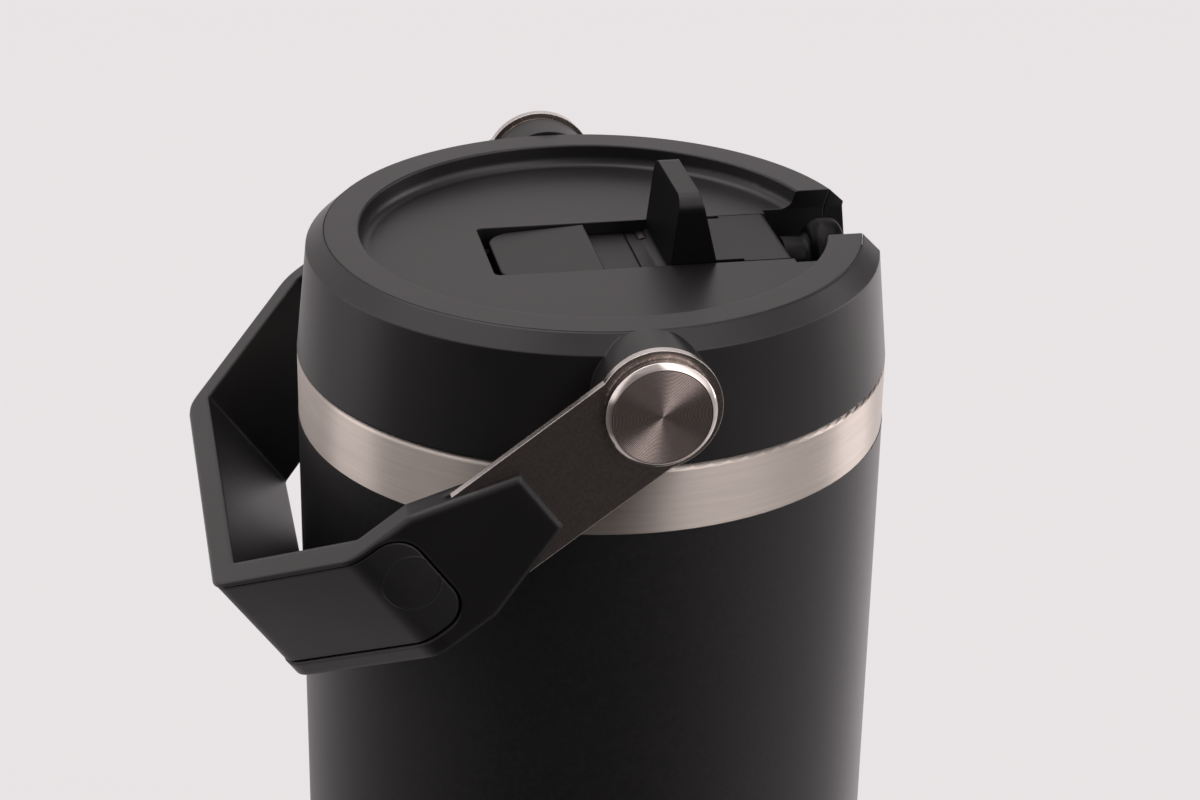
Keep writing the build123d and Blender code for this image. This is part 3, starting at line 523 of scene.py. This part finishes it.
# %% [markdown]
# ## How the round pieces are made
# Most small pieces of a tumbler are turned or moulded about an axis. Such a piece is a profile, drawn
# here by extruding one point along it, and then spun about its axis. A cylinder with bevels could
# stand in, but arcs in the profile give each rounded edge its own radius, and the light that it
# catches, without a bevel afterwards.

# %% Tools for spun pieces
MERGE = 0.0005 * MM
SMOOTH_ANGLE = math.radians(32)


def arc(middle, radius, first, last, count):
    """Points of an arc in count steps, with angles in degrees."""
    turns = [math.radians(first + (last - first) * i / count) for i in range(count + 1)]
    return [(middle[0] + radius * math.cos(t), middle[1] + radius * math.sin(t)) for t in turns]


def pick_nothing():
    bpy.ops.object.select_all(action="DESELECT")


def spun(name, points, to_space, centre, axis, steps, turn=360.0):
    """Profile points in mm, placed by to_space, drawn by extruding and spun about an axis in metres."""
    spots = [to_space(a * MM, b * MM) for a, b in points]
    pick_nothing()
    bpy.ops.mesh.primitive_plane_add(size=MM)
    piece = bpy.context.object
    piece.name = name
    bpy.ops.object.mode_set(mode="EDIT")
    bpy.ops.mesh.select_mode(type="VERT")
    bpy.ops.mesh.merge(type="CENTER")
    bpy.ops.transform.translate(value=spots[0])
    for here, there in zip(spots, spots[1:]):
        bpy.ops.mesh.extrude_region_move(TRANSFORM_OT_translate={"value": there - here})
    bpy.ops.mesh.select_all(action="SELECT")
    bpy.ops.mesh.spin(steps=steps, angle=math.radians(turn), center=centre, axis=axis)
    bpy.ops.mesh.select_all(action="SELECT")
    bpy.ops.mesh.remove_doubles(threshold=MERGE)
    bpy.ops.mesh.normals_make_consistent(inside=False)
    bpy.ops.object.mode_set(mode="OBJECT")
    bpy.ops.object.shade_smooth_by_angle(angle=SMOOTH_ANGLE)
    return piece


def upright(radius, height):
    """Profile about the vessel's axis."""
    return Vector((radius, 0, height))


print("spinning tools ready")

# %% [markdown]
# ## How a piece joins the part
# Each new piece rides on a body of the CAD model, so that it moves with it, and stands for one CAD
# node, which is then hidden.

# %% Join a piece to the part


def finish_piece(piece, material, body, node):
    """Gives a piece its finish and its body, and hides the CAD node that it stands for."""
    piece.data.materials.clear()
    piece.data.materials.append(material)
    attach(piece, body)
    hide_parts(node)
    size = [round(c / MM, 1) for c in piece.dimensions]
    print(piece.name, "faces", len(piece.data.polygons), "size mm", size)


# %% [markdown]
# ## The mouthpiece
# A soft silicone nozzle is pushed over the spout's stub. It has a narrow neck, a full round bead and a
# blunt nose with a small bore. It could be sculpted from a tube, but its roundings are plain arcs, so
# a profile, by place along the spout and by radius, is spun about the spout's own axis.

# %% Make the mouthpiece
SPOUT_AXIS_Z = RIM_Z - 8.6 * MM


def make_mouthpiece():
    back, tip = 30.5, 40.3
    stub_r, stub_end, bore_r = 3.4, 38.0, 2.6
    neck_r, bead_r = 4.5, 7.2
    neck_end, fillet_at, bead_at = 33.6, 33.9, 37.2
    back_edge, neck_fillet, bead_back, nose_r, lip_r = 0.3, 0.9, 2.5, 2.0, 0.6
    outside = [(back, stub_r), (back, neck_r - back_edge)]
    outside += arc((back + back_edge, neck_r - back_edge), back_edge, 180, 90, 3) + [(neck_end, neck_r)]
    outside += arc((fillet_at, neck_r + neck_fillet), neck_fillet, -90, -10, 4)
    outside += arc((bead_at, bead_r - bead_back), bead_back, 170, 90, 8)
    nose = arc((tip - nose_r, bead_r - nose_r), nose_r, 90, 5, 9) + [(tip - 0.05, 4.4)]
    nose += arc((tip - 0.45, bore_r + lip_r), lip_r, 45, 180, 5)
    inside = [(39.0, bore_r), (stub_end, bore_r), (stub_end, stub_r), (back, stub_r)]
    return spun("mouthpiece_soft", outside + nose + inside,
                lambda along, radius: Vector((along, 0, SPOUT_AXIS_Z + radius)),
                (0, 0, SPOUT_AXIS_Z), (1, 0, 0), 128)


finish_piece(make_mouthpiece(), MOUTH_SILICONE, "spout", "mouthpiece")

# %% [markdown]
# ## The foot pad
# A silicone disc under the vessel keeps it from sliding. Its edge is rounded, and a shallow dish and
# three grooves in its underside let it grip. The grooves could be cut into a disc one by one, but all
# of them are round, so one profile holds them.

# %% Make the foot pad


def make_foot_pad():
    edge, thick, middle = 30.7, 1.4, 1.1
    dish_r, dish = 5.0, 0.25
    round_low, round_high = 0.45, 0.15
    under = [(0, dish), (dish_r, dish), (dish_r + 0.3, 0.0)]
    for start, width, slope, depth in ((14.0, 1.7, 0.3, 0.3), (21.0, 1.7, 0.3, 0.3), (27.2, 1.2, 0.2, 0.25)):
        end = start + width
        under += [(start, 0.0), (start + slope, depth), (end - slope, depth), (end, 0.0)]
    rim = arc((edge - round_low, round_low), round_low, -90, 0, 5)
    top = arc((edge - round_high, thick - round_high), round_high, 0, 90, 2)
    top += [(dish_r, thick), (dish_r, middle), (0, middle)]
    return spun("foot_pad", under + rim + top, upright, (0, 0, 0), (0, 0, 1), 128)


finish_piece(make_foot_pad(), SILICONE, "vessel", "base_pad")

# %% [markdown]
# ## The lid's gasket
# Two soft lips seal the plug against the neck. They only show when the lid is off. Two thin rings on
# a flat one would look the same from afar, but real lips grow out of their strip, so the strip and
# the lips are one profile.

# %% Make the gasket


def make_gasket():
    inner, back, tip, low, high = 40.9, 42.0, 43.2, 183.6, 186.4
    lip_pitch, lip_r = 1.4, 0.15
    lip_from, lip_tip, lip_shoulder, lip_to = 0.12, 0.42, 1.1, 1.2
    points = [(inner, high), (inner, low), (back, low)]
    for foot in (low, low + lip_pitch):
        points += [(back, foot + lip_from), (tip - 0.2, foot + lip_tip)]
        points += arc((tip - 0.2, foot + lip_tip + lip_r), lip_r, -80, 80, 4)
        points += [(back + 0.15, foot + lip_shoulder), (back, foot + lip_to)]
    points += [(back, high), (inner, high)]
    return spun("lid_gasket_soft", points, upright, (0, 0, 0), (0, 0, 1), 160)


finish_piece(make_gasket(), SILICONE, "gasket", "lid_gasket")

# %% [markdown]
# ## The vent valve
# A small silicone umbrella lets air in and keeps the drink back. Its stem is pulled through a hole in
# the plug, and its thin flap lies against the plug's underside. A disc and a rod could be joined, but
# the moulded piece is one, with a rounded flap and a blunt stem, which one profile gives.

# %% Make the vent valve
VENT_X = -9.0 * MM


def make_vent_valve():
    low, flap_low, flap_top, top = 170.6, 171.2, 172.0, 177.0
    stem_r, cup_r, flap_r, edge_r = 1.5, 1.6, 4.7, 0.3
    points = [(0, low)] + arc((cup_r, low + edge_r), edge_r, -90, 0, 3)
    points += [(cup_r + edge_r, flap_low), (flap_r - edge_r, flap_low + 0.05)]
    points += arc((flap_r, flap_top - 0.4), edge_r, -60, 60, 4)
    points += [(flap_r - edge_r, flap_top), (stem_r, flap_top), (stem_r, 174.6)]
    points += [(stem_r - 0.15, top - 0.4), (0.9, top), (0, top)]
    return spun("vent_umbrella", points, lambda radius, height: Vector((radius + VENT_X, 0, height)),
                (VENT_X, 0, 0), (0, 0, 1), 48)


finish_piece(make_vent_valve(), SILICONE, "lid", "vent_valve")

# %% [markdown]
# ## The spout's saddle seal
# A curved silicone strip lies under the spout's hub. Its cross-section is drawn once and spun through
# part of a turn about the hinge line, and its two ends are closed. The hole that the drink passes is
# straight and goes through a curved strip, so no spin can give it, and a cylinder cuts it.

# %% Make the saddle seal
HINGE = Vector((9.6 * MM, 0, RIM_Z - 7.0 * MM))
SADDLE_ANGLES = (178.0, 306.0)
DUCT_R = 2.1 * MM
CUTTER_LENGTH = 20 * MM
DUCT_SPOT = (9.748 * MM, 0, RIM_Z - 16.5 * MM)


def saddle_strip():
    first = math.radians(SADDLE_ANGLES[0])
    way = Vector((math.cos(first), 0, math.sin(first)))
    inner, flat, outer, half, edge = 7.07, 9.3, 9.53, 7.5, 0.2
    section = [(inner, -half), (flat, -half), (outer, edge - half), (outer, half - edge), (flat, half),
               (inner, half), (inner, -half)]
    piece = spun("saddle_seal", section, lambda out, side: HINGE + way * out + Vector((0, side, 0)),
                 HINGE, (0, 1, 0), 40, SADDLE_ANGLES[1] - SADDLE_ANGLES[0])
    bpy.ops.object.mode_set(mode="EDIT")
    bpy.ops.mesh.select_mode(type="EDGE")
    bpy.ops.mesh.select_all(action="DESELECT")
    bpy.ops.mesh.select_non_manifold()
    bpy.ops.mesh.edge_face_add()
    bpy.ops.mesh.select_all(action="SELECT")
    bpy.ops.mesh.normals_make_consistent(inside=False)
    bpy.ops.object.mode_set(mode="OBJECT")
    return piece


def cut_duct(piece):
    """Cuts the round hole with a cylinder, which then goes."""
    pick_nothing()
    bpy.ops.mesh.primitive_cylinder_add(vertices=40, radius=DUCT_R, depth=CUTTER_LENGTH, location=DUCT_SPOT)
    cutter = bpy.context.object
    cut = piece.modifiers.new("duct", "BOOLEAN")
    cut.object = cutter
    cut.solver = "EXACT"
    pick_nothing()
    bpy.context.view_layer.objects.active = piece
    piece.select_set(True)
    bpy.ops.object.modifier_apply(modifier="duct")
    bpy.data.objects.remove(cutter)
    return piece


finish_piece(cut_duct(saddle_strip()), SILICONE, "lid", "spout_seal")

# %% [markdown]
# ## The spun buttons
# The head of each button was faced on a lathe, which leaves fine rings, and its bevel was polished.
# The rings are real here: a ripple of a few hundredths of a millimetre in the profile, because only a
# slope that follows the rings gives the fan of light that such a face shows. The far button is the
# same profile, turned to the other side.

# %% Make the buttons
RING_PITCH = 0.2
RING_DEPTH = 0.042
RING_STEPS = 4
RINGS_R = 7.2
POLISH_FROM_R = 7.21 * MM


def button_profile():
    inner_end, shank_r, seat, face, head_r = 43.2, 4.1, 52.15, 54.05, 8.1
    low_edge, high_edge, bevel, bevel_r, face_r = 0.15, 0.1, 0.82, 7.36, 7.28
    points = [(0, inner_end), (shank_r, inner_end), (shank_r, seat), (head_r - low_edge, seat)]
    points += arc((head_r - low_edge, seat + low_edge), low_edge, -90, 0, 3) + [(head_r, face - 0.86)]
    points += arc((head_r - high_edge, face - bevel), high_edge, 0, 50, 2)
    points += [(bevel_r, face - 0.03), (face_r, face)]
    for i in range(int(RINGS_R / RING_PITCH) * RING_STEPS):
        dip = RING_DEPTH * (0.5 - 0.5 * math.cos(2 * math.pi * i / RING_STEPS))
        points.append((RINGS_R - i * RING_PITCH / RING_STEPS, face - dip))
    return points + [(0, face)]


def make_button(name, side):
    return spun(name, button_profile(),
                lambda radius, out: Vector((BUTTON_CENTRE.x, side * out, BUTTON_CENTRE.z + radius)),
                BUTTON_CENTRE, (0, 1, 0), 160)


def polish_edge(button):
    """Gives the faces outside the spun rings the polished steel."""
    button.data.materials.append(POLISHED_STEEL)
    for face in button.data.polygons:
        spot = face.center - BUTTON_CENTRE
        face.material_index = int(math.hypot(spot.x, spot.z) > POLISH_FROM_R)


for end, side in (("left", -1), ("right", 1)):
    button = make_button("button_" + end, side)
    finish_piece(button, BUTTON_STEEL, "lid", "pivot_button_" + end)
    polish_edge(button)

# %% [markdown]
# ## The grip's soft panel
# A rubber panel is moulded into the outside of the grip. It could be drawn anew, but it has to fit
# the grip's pocket, so it starts as a copy of the CAD panel, whose loose triangles are merged and
# joined into flat faces. Its rim is rounded and it is shrunk a little, so that the open line round it
# looks like the soft groove of the real grip.

# %% Make the soft panel
PANEL_ROUNDING = 0.38 * MM
PANEL_INSET = 0.16 * MM
PANEL_SHARP = math.radians(35)
PANEL_FLAT = math.radians(0.5)
PANEL_MERGE = 0.002 * MM


def make_grip_panel():
    pick_nothing()
    piece = bpy.data.objects.new("grip_panel", NODES["grip_pad"].data.copy())
    bpy.context.scene.collection.objects.link(piece)
    bpy.context.view_layer.objects.active = piece
    piece.select_set(True)
    bpy.ops.object.mode_set(mode="EDIT")
    bpy.ops.mesh.select_all(action="SELECT")
    bpy.ops.mesh.remove_doubles(threshold=PANEL_MERGE)
    bpy.ops.mesh.dissolve_limited(angle_limit=PANEL_FLAT)
    bpy.ops.object.mode_set(mode="OBJECT")
    rounding = piece.modifiers.new("rounding", "BEVEL")
    rounding.width = PANEL_ROUNDING
    rounding.segments = 4
    rounding.limit_method = "ANGLE"
    rounding.angle_limit = PANEL_SHARP
    bpy.ops.object.modifier_apply(modifier="rounding")
    bpy.ops.object.mode_set(mode="EDIT")
    bpy.ops.mesh.select_all(action="SELECT")
    bpy.ops.transform.shrink_fatten(value=-PANEL_INSET)
    bpy.ops.object.mode_set(mode="OBJECT")
    bpy.ops.object.shade_smooth_by_angle(angle=PANEL_SHARP)
    return piece


finish_piece(make_grip_panel(), GRIP_RUBBER, "handle", "grip_pad")

# %% [markdown]
# ## The table
# The photograph has a pale, plain surround. A lit white sheet could give it, but it would also shine
# up into the black gloss. So the table shows the camera its own pale colour, with only a breath of
# shadow, and is clear to every other ray. It is clear from below too, so that the foot can be seen.

# %% Lay the table
SURROUND = (0.80, 0.772, 0.778)
PALE_SHARE = 0.93
FLOOR_SIZE = 12


def make_floor():
    """Pale to the camera from above, and clear to every other ray."""
    bpy.ops.mesh.primitive_plane_add(size=FLOOR_SIZE)
    floor = bpy.context.object
    floor.name = "table_top"
    material, wire, shader = new_finish("table_paper")
    shader.inputs["Base Color"].default_value = (*SURROUND, 1)
    shader.inputs["Roughness"].default_value = 0.9
    seen = wire.node("ShaderNodeLightPath", output=CAMERA_RAY)
    under = wire.node("ShaderNodeNewGeometry", output=BACKFACING)
    glow = wire.node("ShaderNodeEmission", None, {"Color": (*SURROUND, 1), "Strength": 1.0})
    paper = mix_shaders(wire, PALE_SHARE, Wire(wire.tree, shader.outputs[0]), glow)
    clear = wire.node("ShaderNodeBsdfTransparent")
    show(wire, mix_shaders(wire, seen * (1.0 - under), clear, paper))
    floor.data.materials.append(material)
    return floor


print("floor", make_floor().name)

# %% [markdown]
# ## The room
# A glossy black object is drawn by what it mirrors, so the room matters more than the lamps. It is
# dark on the camera's side and pale behind the tumbler. Each place on a round wall mirrors one
# direction of the room, so the greys were tuned until the wall had its lights and darks in the right
# places. The room has three bands, since the wall, the steel band and the lid mirror different
# heights, and a soft light hangs overhead.

# %% Light the room
LIGHT_TINT = (1.0, 0.93, 0.945)
FULL_LIGHT = 2              # a ramp ends at 1, so it holds greys as a share of this
# Greys by the angle, in degrees, from the camera's own side to its right: of the light from the
# table, of the room below the level of the lid, and of the room above it
TABLE_LIGHT = [(-180, 0.60), (-110, 0.56), (-75, 0.48), (-50, 0.30), (-30, 0.12), (20, 0.12), (45, 0.30),
               (90, 0.45), (180, 0.60)]
LOW_LIGHT = [(-180, 1.05), (-166, 0.80), (-156, 0.62), (-139, 0.63), (-117, 0.44), (-101, 0.31),
             (-81, 0.20), (-62, 0.14), (-45, 0.07), (-30, 0.02), (18, 0.02), (28, 0.05), (46, 0.17),
             (58, 0.24), (71, 0.38), (85, 0.44), (101, 0.52), (120, 0.68), (133, 0.95), (150, 1.30),
             (165, 1.00), (180, 1.05)]
HIGH_LIGHT = [(-180, 0.76), (-150, 0.56), (-130, 0.80), (-90, 1.00), (-64, 1.10), (-50, 1.05),
              (-42, 0.50), (-34, 0.26), (10, 0.26), (22, 0.45), (30, 1.30), (38, 2.10), (62, 2.10),
              (72, 1.50), (88, 1.00), (104, 0.60), (125, 0.10), (150, 0.15), (165, 0.65), (180, 0.76)]
# and of the light overhead, by how far a ray points up
OVERHEAD = [(0.45, 0.0), (0.75, 0.44), (1.0, 0.50)]
# How far a ray points up where one band of the room turns into the next
TABLE_TO_LOW = (-0.80, -0.66)
LOW_TO_HIGH = (-0.10, 0.14)


def room_greys(wire, turn, table):
    """Greys of one band of the room, by the angle in radians."""
    stops = [((angle + 180) / 360, grey / FULL_LIGHT) for angle, grey in table]
    return tones(wire, 0.5 + turn / (2 * math.pi), *stops)


def make_world():
    """Pale to the camera, and to everything else a room with bands of greys round it."""
    world = bpy.data.worlds.new("studio")
    bpy.context.scene.world = world
    world.use_nodes = True
    wire = Wire(world.node_tree)
    way = wire.node("ShaderNodeTexCoord", output=GENERATED)
    height = component(wire, way, 2)
    turned = wire.node("ShaderNodeVectorRotate", {"rotation_type": "Z_AXIS"},
                       {"Vector": way, "Angle": CAMERA_SIDE_ANGLE})
    turn = wire.sum("ARCTAN2", component(wire, turned, 0), -1.0 * component(wire, turned, 1))
    table, low, high = [room_greys(wire, turn, greys) for greys in (TABLE_LIGHT, LOW_LIGHT, HIGH_LIGHT)]
    over = tones(wire, height, *((place, grey / FULL_LIGHT) for place, grey in OVERHEAD))
    high = mix_colours(wire, 1.0, high, over, "LIGHTEN")
    light = mix_colours(wire, fade(wire, height, *TABLE_TO_LOW, kind="SMOOTHSTEP"), table, low)
    light = mix_colours(wire, fade(wire, height, *LOW_TO_HIGH, kind="SMOOTHSTEP"), light, high)
    warm = (*(FULL_LIGHT * c for c in LIGHT_TINT), 1)
    light = mix_colours(wire, 1.0, light, warm, "MULTIPLY")
    seen = wire.node("ShaderNodeLightPath", output=CAMERA_RAY)
    colour = mix_colours(wire, seen, light, (*SURROUND, 1))
    world.node_tree.links.new(colour.socket, world.node_tree.nodes["Background"].inputs["Color"])
    return world


print("room", make_world().name)

# %% [markdown]
# ## The lamps
# Three big, weak lamps add some shape to what the room alone would leave flat: one overhead, and one
# at each side, all turned to the middle of the tumbler. Small, strong lamps would leave hard spots of
# light on the black plastic, which the photograph doesn't have.

# %% Hang the lamps
LAMP_TARGET = Vector((0, 0, 0.15))
LAMPS = {
    "top_light": ((-0.2, 0.35, 1.3), (1.2, 1.0), 7.0),
    "left_light": ((-1.1, 0.35, 0.3), (0.5, 0.9), 1.5),
    "right_light": ((1.1, 0.25, 0.4), (0.5, 0.9), 3.0),
}


def add_lamp(name, spot, size, power):
    bpy.ops.object.light_add(type="AREA", location=spot)
    lamp = bpy.context.object
    lamp.name = name
    lamp.data.shape = "RECTANGLE"
    lamp.data.size, lamp.data.size_y = size
    lamp.data.energy = power
    lamp.data.color = LIGHT_TINT
    lamp.rotation_euler = (LAMP_TARGET - Vector(spot)).to_track_quat("-Z", "Y").to_euler()


for lamp_name, (spot, size, power) in LAMPS.items():
    add_lamp(lamp_name, spot, size, power)
print("lamps", list(LAMPS))
